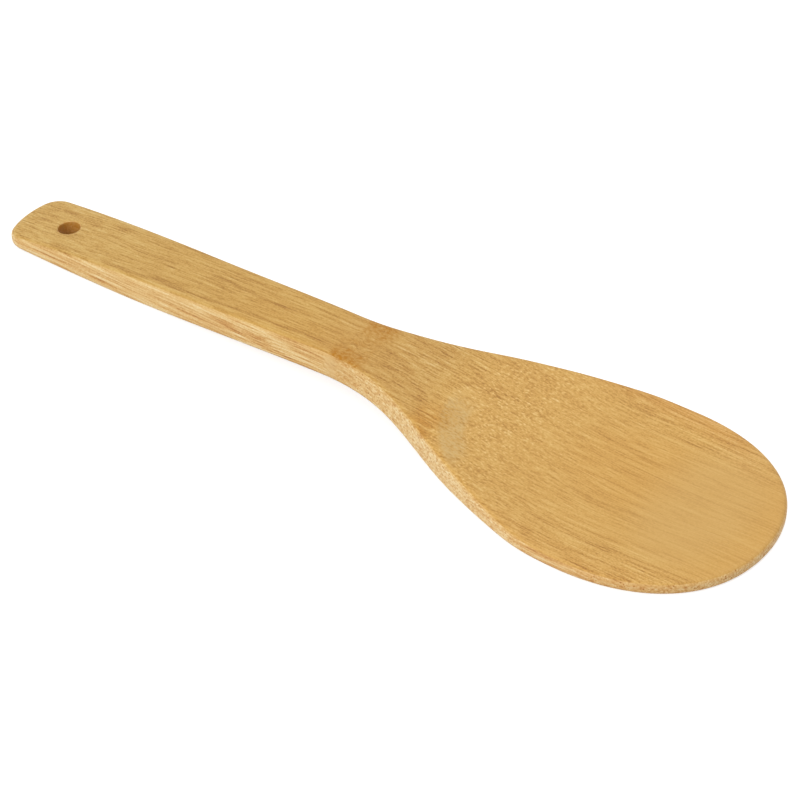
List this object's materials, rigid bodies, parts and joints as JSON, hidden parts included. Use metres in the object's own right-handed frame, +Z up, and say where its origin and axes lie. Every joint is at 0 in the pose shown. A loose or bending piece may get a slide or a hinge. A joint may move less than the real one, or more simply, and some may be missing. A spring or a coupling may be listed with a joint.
{
  "type": "rice paddle",
  "caption": "Rice paddle carved from one strip of bamboo: flat handle with a hang hole, a flared neck and a broad oval blade hollowed on top.",
  "frame": {"origin": "middle of the footprint, on the table that the paddle lies on", "axes": "+X along the length towards the tip of the blade, +Y across the width, +Z up out of the hollowed face"},
  "size_m": [0.229, 0.0678, 0.011],
  "materials": {
    "bamboo": "satin, lightly oiled and sanded bamboo"
  },
  "bodies": {
    "root": {"paddle": "bamboo"}
  },
  "joints": []
}
